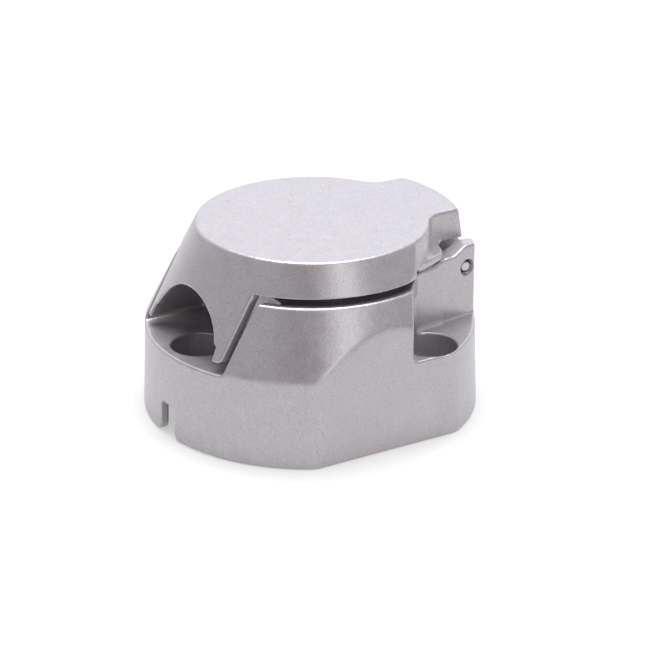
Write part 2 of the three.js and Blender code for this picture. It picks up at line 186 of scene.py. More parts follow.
def rod(g, radius, low, high, y=HINGE_Y, z=HINGE_Z, r=0.0):
    """A cylinder along X."""
    return both(np.hypot(g.y - y, g.z - z) - radius, band(g.x, low, high), r=r)


def wall(g, place, turned=False):
    """Everything to the left of a vertical wall, or to its right if turned; both sides of X alike."""
    x, y, heading = place
    angle = math.radians(heading)
    distance = (abs(g.x) - x) * math.sin(angle) - (g.y - y) * math.cos(angle)
    return -distance if turned else distance


def bend(start, control, end, steps=8):
    """Points along a quadratic curve, without its start."""
    points = []
    for i in range(1, steps + 1):
        t = i / steps
        points.append(
            tuple(
                a * (1 - t) ** 2 + 2 * c * t * (1 - t) + b * t * t
                for a, c, b in zip(start, control, end)
            )
        )
    return points


def outline(points, u, v):
    """Distance to a closed outline drawn in u and v, negative inside it."""
    nearest = np.float32(1e9)
    crossings = np.zeros(np.broadcast(u, v).shape, bool)
    for (u0, v0), (u1, v1) in zip(points, points[1:] + points[:1]):
        du, dv = u1 - u0, v1 - v0
        along = ((u - u0) * du + (v - v0) * dv) / (du * du + dv * dv)
        along = np.clip(along, 0, 1)
        nearest = np.minimum(nearest, np.hypot(u - u0 - along * du, v - v0 - along * dv))
        if v0 != v1:
            spans = (v0 > v) != (v1 > v)
            crossings ^= spans & (u < u0 + (v - v0) * du / dv)
    return np.where(crossings, -nearest, nearest).astype(np.float32)


def under(g, heights):
    """Everything below a roof given by (y, height) points."""
    ys, zs = zip(*heights)
    roof = np.interp(g.y, ys, zs).astype(np.float32)
    slope = np.gradient(roof, axis=1) / g.step
    return (g.z - roof) / np.sqrt(1 + slope * slope)


# ---------- from field to mesh ----------

CORNERS = [np.array((i, j, k)) for i in (0, 1) for j in (0, 1) for k in (0, 1)]


def sample(values, g, points):
    """Values between lattice points, by linear interpolation."""
    at = np.clip((points - g.low) / g.step, 0, np.array(g.shape) - 1.001)
    cell = at.astype(int)
    share = at - cell
    total = 0
    for corner in CORNERS:
        weight = np.prod(np.where(corner, share, 1 - share), axis=1)
        i, j, k = (cell + corner).T
        total = total + weight * values[i, j, k]
    return total


def gradient(field, g, points):
    """The field's direction of steepest rise at the points, and its length."""
    h = 0.5 * g.step
    parts = []
    for axis in np.eye(3) * h:
        parts.append((sample(field, g, points + axis) - sample(field, g, points - axis)) / (2 * h))
    rise = np.stack(parts, axis=1)
    length = np.linalg.norm(rise, axis=1, keepdims=True)
    return rise / np.maximum(length, 1e-6), np.maximum(length[:, 0], 0.3)


def net(field, g):
    """A closed quad mesh on the field's zero surface, with one point in each cell that it crosses."""
    inside = field < 0
    size = [n - 1 for n in g.shape]
    count = 0
    for corner in CORNERS:
        part = tuple(slice(o, o + n) for o, n in zip(corner, size))
        count = count + inside[part].astype(np.uint8)
    cells = np.argwhere((count > 0) & (count < 8))
    number = np.full(size, -1, np.int32)
    number[tuple(cells.T)] = np.arange(len(cells))
    total = np.zeros((len(cells), 3))
    hits = np.zeros(len(cells))
    for a in CORNERS:
        for axis in np.eye(3, dtype=int):
            if a @ axis:
                continue
            start = field[tuple((cells + a).T)]
            end = field[tuple((cells + a + axis).T)]
            crossed = (start < 0) != (end < 0)
            share = np.where(crossed, start / np.where(crossed, start - end, 1), 0)
            total += np.where(crossed[:, None], a + share[:, None] * axis, 0)
            hits += crossed
    points = (cells + total / hits[:, None]) * g.step + g.low
    quads = []
    for axis in range(3):
        u, v = (axis + 1) % 3, (axis + 2) % 3
        low = tuple(slice(0, -1) if i == axis else slice(None) for i in range(3))
        high = tuple(slice(1, None) if i == axis else slice(None) for i in range(3))
        edges = np.argwhere(inside[low] != inside[high])
        within = (edges[:, u] > 0) & (edges[:, v] > 0)
        within &= (edges[:, u] < size[u]) & (edges[:, v] < size[v])
        edges = edges[within]
        back_u, back_v = np.eye(3, dtype=int)[u], np.eye(3, dtype=int)[v]
        ring = [edges, edges - back_u, edges - back_u - back_v, edges - back_v]
        faces = np.stack([number[tuple(c.T)] for c in ring], axis=1)
        outward = inside[tuple(edges.T)]
        faces[~outward] = faces[~outward][:, ::-1]
        quads.append(faces)
    return points, np.concatenate(quads)


def mesh_of(name, points, quads):
    mesh = bpy.data.meshes.new(name)
    mesh.vertices.add(len(points))
    mesh.vertices.foreach_set("co", points.astype(np.float32).ravel())
    mesh.loops.add(quads.size)
    mesh.loops.foreach_set("vertex_index", quads.astype(np.int32).ravel())
    mesh.polygons.add(len(quads))
    mesh.polygons.foreach_set("loop_start", np.arange(0, quads.size, 4, dtype=np.int32))
    mesh.update(calc_edges=True)
    mesh.validate()
    return mesh


def link(name, mesh):
    piece = bpy.data.objects.new(name, mesh)
    bpy.context.scene.collection.objects.link(piece)
    return piece


def thinned(name, mesh, share):
    """The mesh with about that share of its triangles."""
    rough = link(name, mesh)
    thin = rough.modifiers.new("thin", "DECIMATE")
    thin.ratio = share
    graph = bpy.context.evaluated_depsgraph_get()
    result = bpy.data.meshes.new_from_object(rough.evaluated_get(graph))
    bpy.data.objects.remove(rough)
    result.name = name
    return result


def carved(name, field, g, faces=None):
    """A mesh for a field, thinned to about that many triangles, with the field's own normals.

    Its point attribute edge is high on outer edges and low in inner corners.
    """
    field = np.broadcast_to(field, g.shape)
    points, quads = net(field, g)
    for _ in range(3):
        direction, length = gradient(field, g, points)
        points -= direction * (sample(field, g, points) / length)[:, None]
    mesh = mesh_of(name, points, quads)
    if faces and 2 * len(quads) > faces:
        mesh = thinned(name, mesh, faces / (2 * len(quads)))
    flat = np.zeros(len(mesh.vertices) * 3, np.float32)
    mesh.vertices.foreach_get("co", flat)
    points = flat.reshape(-1, 3).astype(float)
    direction, length = gradient(field, g, points)
    points -= direction * np.clip(sample(field, g, points) / length, -g.step / 4, g.step / 4)[:, None]
    reach = 1.4 * g.step
    around = sum(
        sample(field, g, points + side * reach * axis) for axis in np.eye(3) for side in (-1, 1)
    )
    curve = (around / 6 - sample(field, g, points)) / reach
    direction, length = gradient(field, g, points)
    mesh.vertices.foreach_set("co", (points * MM).astype(np.float32).ravel())
    mesh.polygons.foreach_set("use_smooth", np.ones(len(mesh.polygons), bool))
    mesh.normals_split_custom_set_from_vertices(direction.astype(np.float32))
    edge = mesh.attributes.new("edge", "FLOAT", "POINT")
    edge.data.foreach_set("value", curve.astype(np.float32))
    mesh.update()
    return mesh


STEP = 0.36
HOUSING_FACES = 190_000
LID_FACES = 150_000

# ---------- housing ----------


def base(g):
    """The round base with its draft, and its two flats."""
    draft = (BASE_R - LEDGE_R) / LEDGE_Z
    round_side = np.hypot(g.x, g.y) - BASE_R + INSET + draft * g.z
    return both(round_side, abs(g.x) - FLAT_X + INSET, r=0.9)


def cone(g):
    """The cone that lid and housing share. It leans back a little towards the barrel's axis."""
    lean = BARREL_Y * (g.z - LEDGE_Z) / (TOP_Z - LEDGE_Z)
    radius = LID_R + SLOPE * (TOP_Z - g.z)
    return (np.hypot(g.x, g.y - lean) - radius) / math.hypot(1, SLOPE)


def side_pocket(g):
    """Room over both side screws, with a scallop for each screw's head."""
    x, y = SCREW_HOLES[1]
    room = both(wall(g, BODY_WALL), wall(g, SHOULDER_WALL), r=3)
    room = both(room, wall(g, BRACKET_WALL), LEDGE_Z - g.z, r=1.4)
    scallop = both(np.hypot(abs(g.x) - x, g.y - y) - RECESS_R, band(g.z, LEDGE_Z, LEDGE_Z + 10), r=0.5)
    return either(room, scallop, r=0.5)


def front_pocket(g):
    room = both(abs(g.x) - POCKET_X, g.y - POCKET_BACK, LEDGE_Z - g.z, r=0.9)
    return less(room, np.hypot(g.x, g.y - BARREL_Y) - COLLAR_R)


def bracket(g):
    """Block between the side pockets that carries the ears; its top rises in an S over the pin."""
    roof = [(12, RIM_Z - 1.3), (17, RIM_Z - 1.1), (27, RIM_Z)]
    for share in (0, 0.15, 0.3, 0.5, 0.7, 0.85, 1):
        height = RIM_Z + (EAR_TOP - RIM_Z) * math.sin(math.pi / 2 * share) ** 2
        roof.append((28.4 + 4.6 * share, height))
    top = under(g, [*roof, (35.5, EAR_TOP - 0.1), (41, EAR_TOP - 1.4)])
    side = wall(g, BRACKET_WALL, turned=True)
    round_end = np.hypot(g.x, g.y) - LEDGE_R
    return both(top, side, round_end, 12 - g.y, LEDGE_Z - 2 - g.z, r=0.6)


def bosses(g, radius, low, high, r=0.0):
    return either(*(post(g, radius, low, high, x, y, r) for x, y in SCREW_HOLES))


def ribs(g):
    """Ribs in the rear, from the barrel to the outer wall."""
    plates = []
    for heading in (0, 180, -52, -128, 66, 114):
        angle = math.radians(heading)
        along = g.x * math.cos(angle) + g.y * math.sin(angle)
        across = g.y * math.cos(angle) - g.x * math.sin(angle)
        plates.append(both(abs(across) - 1, BORE_R + 1 - along, COLLAR_REAR - g.z, r=0.4))
    return either(*plates)


def rear_hollow(g):
    roof = RIM_Z - 1.2 - WALL
    body = both(base(g) + WALL, cone(g) + WALL, g.z - roof, r=1)
    room = either(body, both(bracket(g) + WALL, g.y - CLEVIS_Y + WALL))
    ear_room = both(CLEVIS_Y - WALL - g.y, LEDGE_Z - 3 - g.z)
    floor_z = LEDGE_Z - RECESS_DEPTH - WALL
    return less(
        room,
        front_pocket(g) - WALL,
        side_pocket(g) - WALL,
        ear_room,
        np.hypot(g.x, g.y - BARREL_Y) - COLLAR_R,
        ribs(g),
        bosses(g, BOSS_R, -9, LEDGE_Z),
        bosses(g, RECESS_R + WALL, floor_z, LEDGE_Z),
        r=0.8,
    )


def bore(g):
    """The barrel's bore: plug room, seat opening and rear room, with the plug's key slot."""
    key = block(g, (-2.6, -BORE_R - 1.6 + BARREL_Y, SEAT_TOP + 4), (2.6, BARREL_Y, 99), r=0.5)
    front = post(g, BORE_R, SEAT_TOP, 99, y=BARREL_Y, r=0.4)
    seat = post(g, SEAT_R, 0, 99, y=BARREL_Y)
    rear = post(g, BORE_R, -9, SEAT_REAR, y=BARREL_Y, r=0.4)
    return either(front, seat, rear, key)


def drain(g):
    """The slot through the base wall that lets water out; the wall's feet beside it are rounded."""
    slot = both(band(g.x, -1.7, 4.4), g.z - 8, r=1.2)
    slot = either(slot, g.z + 0 * g.x, r=2)
    return both(slot, g.y + DRAIN_Y)


def insert_screw_places():
    places = []
    for heading in (90, 210, 330):
        angle = math.radians(heading)
        places.append((SCREW_CIRCLE_R * math.cos(angle), BARREL_Y + SCREW_CIRCLE_R * math.sin(angle)))
    return places


def housing_field(g):
    shell = both(base(g), cone(g), r=0.5)
    shell = both(shell, g.z - RIM_Z, r=0.45)
    shell = both(shell, INSET - g.z, r=0.45)
    trough = np.hypot(g.x, g.y - TROUGH_Y) - (LID_R + SLOPE * (TOP_Z - RIM_Z) - 2)
    trough = both(trough, RIM_Z - 1.2 - g.z)
    body = less(less(shell, trough, r=0.4), front_pocket(g), side_pocket(g), r=0.5)
    behind = both(CLEVIS_Y - g.y, LEDGE_Z - g.z)
    body = either(less(body, behind), bracket(g), r=0.6)
    collar = post(g, COLLAR_R, 0, COLLAR_TOP, y=BARREL_Y, r=0.5)
    body = either(body, collar, r=0.4)
    clevis = both(abs(g.x) - CLEVIS_X, CLEVIS_Y - g.y, LEDGE_Z - g.z, r=0.8)
    body = less(body, clevis, rear_hollow(g), r=0.5)
    body = less(body, bore(g), drain(g), r=0.35)
    body = less(body, post(g, COLLAR_R + 0.5, -9, COLLAR_REAR, y=BARREL_Y), r=0.3)
    body = less(body, bosses(g, RECESS_R, LEDGE_Z - RECESS_DEPTH, LEDGE_Z + 2, r=0.6), r=0.35)
    body = less(body, bosses(g, HOLE_R, -9, 99), r=0.35)
    seats = both(np.hypot(g.y - HINGE_Y, g.z - HINGE_Z) - 1.95, band(abs(g.x), 17, 18.7))
    body = less(body, rod(g, PIN_R + GAP, -30, 30), seats, r=0.2)
    screws = [post(g, 1.5, SEAT_REAR - 1, SEAT_TOP + 1, x, y) for x, y in insert_screw_places()]
    return less(body, *screws, r=0.2)


def make_housing():
    low = (-FLAT_X - 1, -BASE_R - 1, -1)
    high = (FLAT_X + 1, BASE_R + 1, COLLAR_TOP + 1)
    g = Lattice(low, high, STEP)
    return carved("socket_housing", housing_field(g), g, HOUSING_FACES)


# ---------- lid ----------


def lid_plan():
    """Right half of the lid's plan: neck, small fillet, waist, and the disc's cut sides."""
    waist = bend((12.5, 29), (12.7, 25.5), (15.9, 23.4))
    waist += bend((15.9, 23.4), (21.4, 20.2), (24.8, 14.3))
    sides = [(28.8, 11.6), (31.2, 7.3), (45, -8), (45, -50)]
    return [(0, -50), (0, 60), (12.5, 60), (12.5, 29), *waist, *sides]


def flange_plan():
    """Right half of the flange that the waist spreads into at the bottom."""
    outer = [(12.5, 27.9), (14.5, 26.8), (17.9, 25.8), (20.2, 24.1), (22.15, 20.2), (23.3, 17.1)]
    return [(0, 14), (0, 27.9), *outer, (23.8, 15.6), (22, 15), (20, 14)]


def inside_plan():
    return [(0, -50), (0, 24.6), (11, 24.6), *bend((11, 24.6), (18.6, 18), (22.8, 12.6)),
            (28.6, 6.6), (40, -4), (40, -50)]


def half_plan(g, points):
    """A plan drawn for X over 0, on both sides."""
    wide = [(-60 if x == 0 else x, y) for x, y in points]
    return outline(wide, abs(g.x), g.y)


def neck_end(g):
    """The neck's end face, turned about the barrel's axis and leaning out towards the bottom."""
    lean = (NECK_END_R - NECK_FOOT_R) / (NECK_END_Z - LID_EDGE_Z)
    return np.hypot(g.x, g.y - BARREL_Y) - NECK_END_R + lean * (g.z - LID_EDGE_Z)


def skirt(g):
    """Finger lift: a strip of the cone that reaches down over the front screw, with an arch cut in it."""
    strip = both(cone(g), -cone(g) - WALL, g.y + 5, r=0.5)
    sides = both(both(abs(g.x) - SKIRT_X, SKIRT_Z - g.z, r=0.9), g.z - LID_EDGE_Z - 4)
    arch = np.hypot(g.x, g.z - LEDGE_Z + 0.4) - ARCH_R
    foot = both(abs(g.x) - ARCH_FOOT, g.z - 26.4)
    return less(both(strip, sides, r=0.5), either(arch, foot, r=1), r=0.5)


def knuckles(g):
    web = [(29.4, LID_EDGE_Z + 1), (29.2, 35), (HINGE_Y, HINGE_Z), (35.4, 36.6), (34.9, LID_EDGE_Z + 1)]
    across = band(abs(g.x), KNUCKLE_X, KNUCKLE_END)
    turned = np.hypot(g.y - HINGE_Y, g.z - HINGE_Z) - KNUCKLE_R
    return both(either(outline(web, g.y, g.z), turned, r=1.5), across, r=0.4)


def plug_hook(g):
    side = [(6, 44.5), (6, 37.6), (8.2, 36.4), (10.4, 37.6), (9, 39.6), (9.4, 44.5)]
    return both(outline(side, g.y, g.z), abs(g.x) - 4.5, r=0.4)


def lid_field(g):
    plan = half_plan(g, lid_plan())
    top = both(cone(g), g.z - TOP_Z, r=0.45)
    top = both(top, plan, r=0.6)
    neck = both(neck_end(g), plan, r=0.5)
    neck = both(neck, 10 - g.y, abs(g.x) - 19.5)
    neck = both(neck, g.z - TOP_Z, r=0.9)
    body = both(either(top, neck), LID_EDGE_Z - g.z, r=0.3)
    foot = both(half_plan(g, flange_plan()), cone(g), band(g.z, FLANGE_Z, 39.5), r=0.6)
    body = either(body, foot, r=1.6)
    hollow = both(cone(g) + WALL, g.z - TOP_Z + 2.6, half_plan(g, inside_plan()), r=1)
    clearance = post(g, COLLAR_R + 0.8, 0, COLLAR_TOP + 0.6, y=BARREL_Y)
    body = less(body, hollow, clearance, r=0.3)
    body = either(either(body, skirt(g)), knuckles(g), plug_hook(g), r=0.4)
    return less(body, rod(g, PIN_R + GAP, -30, 30), r=0.2)


def make_lid():
    low = [cad("lid", 0, a) - 1 for a in "xyz"]
    high = [cad("lid", 1, a) + 1 for a in "xyz"]
    g = Lattice(low, high, STEP)
    return carved("socket_lid", lid_field(g), g, LID_FACES)


# ---------- small pieces ----------


def room(node, step, centred=False):
    """A lattice over a CAD node's box; centred moves that box's middle to X = Y = 0."""
    low = np.array([cad(node, 0, a) for a in "xyz"]) - 3 * step
    high = np.array([cad(node, 1, a) for a in "xyz"]) + 3 * step
    if centred:
        middle = (low + high) / 2
        low[:2] -= middle[:2]
        high[:2] -= middle[:2]
    return Lattice(low, high, step)


def hinge_pin(g):
    return rod(g, PIN_R, -PIN_HALF, PIN_HALF, r=0.35)


def thread(g, radius, low, high, pitch=0.6, depth=0.13):
    """A screw's threaded shank along Z."""
    turn = np.arctan2(g.y, g.x) / (2 * math.pi)
    ridge = 2 * abs((g.z / pitch - turn) % 1 - 0.5)
    return both(np.hypot(g.x, g.y) - radius + depth * ridge, band(g.z, low, high), r=0.1)


def tail_holes(g):
    """Wire hole across a contact's tail, and the hole for its terminal screw."""
    wire = rod(g, 1.1, -9, 9, 0, CONTACT_REAR + 2.1)
    return either(wire, post(g, 1.2, 0, CONTACT_REAR + 3.4))


def contact_sleeve(g):
    """Turned sleeve with four spring fingers and a groove round them."""
    body = post(g, 2.8, CONTACT_REAR, INSERT_TOP - 0.4, r=0.35)
    groove = np.hypot(np.hypot(g.x, g.y) - 2.95, g.z - 27.5) - 0.45
    slits = both(np.minimum(abs(g.x), abs(g.y)) - 0.28, 19 - g.z)
    return less(body, post(g, 2.1, 13, 99), groove, slits, tail_holes(g), r=0.15)


def contact_pin(g):
    """Turned pin with a slit that lets it spring."""
    tail = post(g, 2.8, CONTACT_REAR, 23, r=0.3)
    pin = post(g, 2, 20, INSERT_TOP - 1.4, r=0.9)
    slit = both(abs(g.x) - 0.22, 24.5 - g.z)
    return less(either(tail, pin, r=0.4), slit, tail_holes(g), r=0.12)


def terminal_screw(g):
    seat = CONTACT_REAR - GAP
    slot = both(abs(g.y) - 0.3, g.z - seat + 0.7)
    head = less(post(g, 2.2, seat - 1.3, seat, r=0.3), slot, r=0.1)
    return either(head, thread(g, 0.9, seat - 0.2, CONTACT_REAR + 2.6))


def insert_screw(g):
    seat = 20 + GAP
    dome = np.sqrt(g.x**2 + g.y**2 + (g.z - seat + 2) ** 2) - 3.5
    head = both(post(g, 1.95, seat, seat + 2), dome, r=0.25)
    narrow = np.minimum(abs(g.x), abs(g.y)) - 0.27
    reach = np.maximum(abs(g.x), abs(g.y)) - 1.3
    cross = both(narrow, reach, seat + 0.7 - g.z, r=0.1)
    return either(less(head, cross, r=0.08), thread(g, 1.2, SEAT_REAR + 0.4, seat + 0.3))


def contact_places():
    places = []
    for i in range(6):
        angle = math.radians(120 + 60 * i)
        places.append((CONTACT_R * math.cos(angle), BARREL_Y + CONTACT_R * math.sin(angle)))
    return [*places, (0, BARREL_Y)]


def contact_insert(g):
    """Moulded insert: floor on the seat ring, core with seven bores, each with a low rim."""
    plug = post(g, SEAT_R - GAP, INSERT_REAR, 18, y=BARREL_Y, r=0.5)
    plate = post(g, BORE_R - GAP, SEAT_TOP + GAP, 20, y=BARREL_Y, r=0.4)
    core = post(g, SEAT_R - 0.4, 18, INSERT_TOP, y=BARREL_Y, r=0.6)
    field = either(plug, plate, core, r=0.6)
    rho = np.hypot(g.x, g.y - BARREL_Y)
    dish = both(band(rho, 5.2, 13.7), INSERT_TOP - 0.35 - g.z)
    rims = either(*(np.hypot(g.x - x, g.y - y) - 3.9 for x, y in contact_places()[:6]), r=0.3)
    bores = [np.hypot(g.x - x, g.y - y) - 3.1 for x, y in contact_places()]
    well = post(g, 4.6, 22, 99, y=BARREL_Y)
    screws = [post(g, 1.5, 10, 21, x, y) for x, y in insert_screw_places()]
    key = block(g, (-1.6, BARREL_Y - 16, 20), (1.6, BARREL_Y - 13.4, 99), r=0.3)
    return less(field, less(dish, rims), *bores, well, *screws, key, r=0.2)


def lid_seal(g):
    """Rubber disc with a bead that closes on the barrel, and shallow rings on its face."""
    top = TOP_Z - 2.6 - GAP
    rho = np.hypot(g.x, g.y - BARREL_Y)
    disc = post(g, 23.3, top - 2, top, y=BARREL_Y, r=0.4)
    bead = both(band(rho, BORE_R - 0.5, COLLAR_R - 0.1), band(g.z, COLLAR_TOP + GAP, top), r=0.7)
    rings = np.hypot((rho % 4) - 2, g.z - top + 2.15) - 0.4
    hook = block(g, (-4.8, 5.7, 0), (4.8, 10.7, 99))
    return less(either(less(disc, both(rings, rho - 17, 4 - rho), r=0.2), bead, r=0.5), hook, r=0.15)


def rear_seal(g):
    """Rubber plug with two sealing lips in the bore and a sleeve for the cable."""
    top = COLLAR_REAR - GAP
    rho = np.hypot(g.x, g.y - BARREL_Y)
    plate = post(g, COLLAR_R - 0.4, 0.6, top, y=BARREL_Y, r=0.4)
    lips = 0.3 * np.cos(2 * math.pi * (g.z - 3.6) / 1.7) - 0.3
    lip = both(rho - BORE_R + 0.35 - lips, 17.4 - rho, band(g.z, 1, 6.2), r=0.3)
    sleeve = both(rho - 6.6, band(g.z, 1, 4), r=0.5)
    return less(either(plate, lip, sleeve, r=0.4), rho - 5.2, r=0.4)


def spring_path():
    """The wire's centre line: a leg on the housing, the coil round the pin and a leg under the lid."""
    coil_r, turns, start = 2.75, 6.411, math.radians(283.4)
    share = np.linspace(0, 1, 420)
    angle = start + 2 * math.pi * turns * share
    x = SPRING_HALF * (2 * share - 1)
    coil = np.stack([x, HINGE_Y + coil_r * np.cos(angle), HINGE_Z + coil_r * np.sin(angle)], axis=1)
    first = np.array((-SPRING_HALF, HINGE_Y - 6.6, HINGE_Z - 4.4))
    last = np.array((SPRING_HALF, HINGE_Y - 4.4, HINGE_Z + 4.4))
    leg = np.linspace(0, 1, 14)[:-1, None]
    return np.concatenate([first + leg * (coil[0] - first), coil, (last + leg * (coil[-1] - last))[::-1]])


def spring_mesh(radius=0.45, sides=14):
    """A closed tube along the spring's path, with its ends rounded over."""
    path = spring_path()
    along = np.gradient(path, axis=0)
    along /= np.linalg.norm(along, axis=1, keepdims=True)
    side = np.cross(along, (1, 0, 0))
    side /= np.linalg.norm(side, axis=1, keepdims=True)
    up = np.cross(side, along)
    ends = [0.35, 0.85]
    widths = np.concatenate([ends, np.ones(len(path) - 4), ends[::-1]]) * radius
    angle = np.linspace(0, 2 * math.pi, sides, endpoint=False)
    ring = np.cos(angle)[:, None] * side[:, None] + np.sin(angle)[:, None] * up[:, None]
    points = (path[:, None] + widths[:, None, None] * ring).reshape(-1, 3)
    steps = len(path)
    faces = [tuple(range(sides)), tuple(range(steps * sides - 1, (steps - 1) * sides - 1, -1))]
    for i in range(steps - 1):
        for j in range(sides):
            k = (j + 1) % sides
            faces.append((i * sides + k, i * sides + j, (i + 1) * sides + j, (i + 1) * sides + k))
    mesh = bpy.data.meshes.new("socket_spring")
    mesh.from_pydata((points * MM).tolist(), [], faces)
    mesh.polygons.foreach_set("use_smooth", np.ones(len(mesh.polygons), bool))
    mesh.update()
    return mesh


# ---------- materials ----------


class Nodes:
    """A short way to write a material's node tree."""

    def __init__(self, name):
        self.material = bpy.data.materials.new(name)
        self.material.use_nodes = True
        self.tree = self.material.node_tree
        self.shader = self.tree.nodes["Principled BSDF"]
        self.place = self.add("ShaderNodeTexCoord").outputs["Object"]

    def add(self, kind, **values):
        node = self.tree.nodes.new(kind)
        for key, value in values.items():
            setattr(node, key, value)
        return node

    def feed(self, node, **inputs):
        for key, value in inputs.items():
            socket = node.inputs[key.replace("_", " ")]
            if isinstance(value, bpy.types.NodeSocket):
                self.tree.links.new(value, socket)
            else:
                socket.default_value = value
        return node

    def noise(self, scale, detail=4, roughness=0.55, distortion=0.0):
        """Noise with features about 1/scale metres across."""
        node = self.add("ShaderNodeTexNoise")
        self.feed(node, Vector=self.place, Scale=scale, Detail=detail)
        self.feed(node, Roughness=roughness, Distortion=distortion)
        return node.outputs["Fac"]

    def spread(self, value, low, high, to_low=0.0, to_high=1.0):
        node = self.add("ShaderNodeMapRange", clamp=True)
        names = ("Value", "From Min", "From Max", "To Min", "To Max")
        for key, given in zip(names, (value, low, high, to_low, to_high)):
            if isinstance(given, bpy.types.NodeSocket):
                self.tree.links.new(given, node.inputs[key])
            else:
                node.inputs[key].default_value = given
        return node.outputs["Result"]

    def maths(self, operation, a, b):
        node = self.add("ShaderNodeMath", operation=operation)
        for socket, given in zip(node.inputs, (a, b)):
            if isinstance(given, bpy.types.NodeSocket):
                self.tree.links.new(given, socket)
            else:
                socket.default_value = given
        return node.outputs["Value"]

    def mix(self, share, a, b):
        node = self.add("ShaderNodeMix", data_type="RGBA")
        for socket, given in zip((node.inputs[0], node.inputs[6], node.inputs[7]), (share, a, b)):
            if isinstance(given, bpy.types.NodeSocket):
                self.tree.links.new(given, socket)
            else:
                socket.default_value = given if isinstance(given, float) else (*given, 1)
        return node.outputs[2]

    def edge(self):
        return self.add("ShaderNodeAttribute", attribute_name="edge").outputs["Fac"]

    def bump(self, height, distance, strength=1.0, under=None):
        node = self.add("ShaderNodeBump")
        self.feed(node, Height=height, Distance=distance, Strength=strength)
        if under is not None:
            self.tree.links.new(under, node.inputs["Normal"])
        return node.outputs["Normal"]


def cast_aluminium():
    """Blasted casting: grain with pale specks painted in as its sparkle, faint clouds and flow marks, and
    brighter corners that are partly rubbed wear and partly a painted highlight.
    """
    n = Nodes("cast_aluminium")
    grain = n.noise(2300, detail=3, roughness=0.75)
    speck = n.noise(3900, detail=1, roughness=0.5)
    blotch = n.noise(300, detail=5, roughness=0.65)
    wide = n.noise(45, detail=3, distortion=0.6)
    tone = n.mix(n.spread(wide, 0.35, 0.65), (0.42, 0.405, 0.42), (0.45, 0.42, 0.435))
    mottled = n.mix(n.spread(blotch, 0.35, 0.7), tone, (0.47, 0.452, 0.468))
    pitted = n.mix(n.spread(grain, 0.54, 0.68, 0, 0.55), mottled, (0.25, 0.225, 0.24))
    # Pale specks in the grain's colour are painted glints, standing in for the casting's sparkle.
    bright = n.mix(n.spread(speck, 0.6, 0.7, 0, 0.6), pitted, (0.66, 0.65, 0.68))
    # Edges are brightened by their curvature: partly rubbed wear, partly a painted highlight along the
    # rims.
    edge_wear_and_highlight = n.spread(n.maths("ADD", n.edge(), n.spread(grain, 0.3, 0.7, -0.05, 0.05)), 0.22, 0.5, 0, 0.6)
    colour = n.mix(edge_wear_and_highlight, bright, (0.64, 0.63, 0.65))
    rough = n.maths("SUBTRACT", n.spread(blotch, 0.3, 0.7, 0.29, 0.37), n.maths("MULTIPLY", edge_wear_and_highlight, 0.1))
    skin = n.bump(n.maths("ADD", grain, n.maths("MULTIPLY", blotch, 1.5)), 0.00005, 0.7)
    n.feed(n.shader, Base_Color=colour, Metallic=0.7, Roughness=rough, Normal=skin)
    return n.material


def turned_metal(name, pale, deep, edge_wear_and_highlight, roughness):
    """Bright turned or drawn metal with fine tool marks, a little tarnish and polished edges."""
    n = Nodes(name)
    marks = n.noise(3000, detail=2, roughness=0.5, distortion=0.4)
    tarnish = n.noise(520, detail=5, roughness=0.7)
    tone = n.mix(n.spread(tarnish, 0.38, 0.7), pale, deep)
    polished = n.spread(n.edge(), 0.12, 0.4, 0, 0.7)
    colour = n.mix(polished, n.mix(n.spread(marks, 0.55, 0.75, 0, 0.25), tone, deep), edge_wear_and_highlight)
    rough = n.maths("SUBTRACT", n.spread(tarnish, 0.3, 0.7, roughness, roughness + 0.14),
                    n.maths("MULTIPLY", polished, 0.1))
    n.feed(n.shader, Base_Color=colour, Metallic=1.0, Roughness=rough, Normal=n.bump(marks, 0.00001, 0.5))
    return n.material


def moulded(name, dark, pale, scuffed, roughness, grain_scale, depth):
    """Moulded plastic or rubber: fine grain, faint cloudy bloom and edges rubbed paler."""
    n = Nodes(name)
    grain = n.noise(grain_scale, detail=3, roughness=0.6)
    cloud = n.noise(180, detail=4, roughness=0.6)
    tone = n.mix(n.spread(cloud, 0.35, 0.7), dark, pale)
    rubbed = n.spread(n.maths("ADD", n.edge(), n.spread(cloud, 0.3, 0.7, -0.1, 0.1)), 0.15, 0.5, 0, 0.5)
    colour = n.mix(rubbed, tone, scuffed)
    rough = n.spread(cloud, 0.3, 0.7, roughness - 0.05, roughness + 0.08)
    n.feed(n.shader, Base_Color=colour, Roughness=rough, Normal=n.bump(grain, depth, 0.6))
    return n.material


# ---------- pieces ----------


def dress(piece, material, slot, body, *replaced):
    """Gives a piece its material and body, and hides the CAD nodes it stands for; slot is not used."""
    piece.data.materials.clear()
    piece.data.materials.append(material)
    if body:
        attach(piece, body)
    if replaced:
        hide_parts(*replaced)
    return piece


aluminium = cast_aluminium()
dress(link("socket_housing", make_housing()), aluminium, "cast_aluminium", "housing", "housing")
dress(link("socket_lid", make_lid()), aluminium, "cast_aluminium", "lid", "lid")

steel = turned_metal("bright_steel", (0.56, 0.56, 0.57), (0.4, 0.395, 0.4), (0.75, 0.75, 0.76), 0.26)
brass = turned_metal("turned_brass", (0.78, 0.57, 0.26), (0.56, 0.37, 0.14), (0.9, 0.72, 0.4), 0.24)
plastic_tones = (0.012, 0.012, 0.013), (0.022, 0.022, 0.024), (0.06, 0.06, 0.065)
plastic = moulded("black_plastic", *plastic_tones, 0.42, 4200, 0.00002)
rubber_tones = (0.009, 0.009, 0.009), (0.02, 0.019, 0.018), (0.05, 0.048, 0.045)
rubber = moulded("black_rubber", *rubber_tones, 0.68, 2400, 0.00003)


def single(node, shape, step, material, slot, body="housing"):
    """One small piece that stands for one CAD node."""
    g = room(node, step)
    dress(link("socket_" + node, carved("socket_" + node, shape(g), g)), material, slot, body, node)


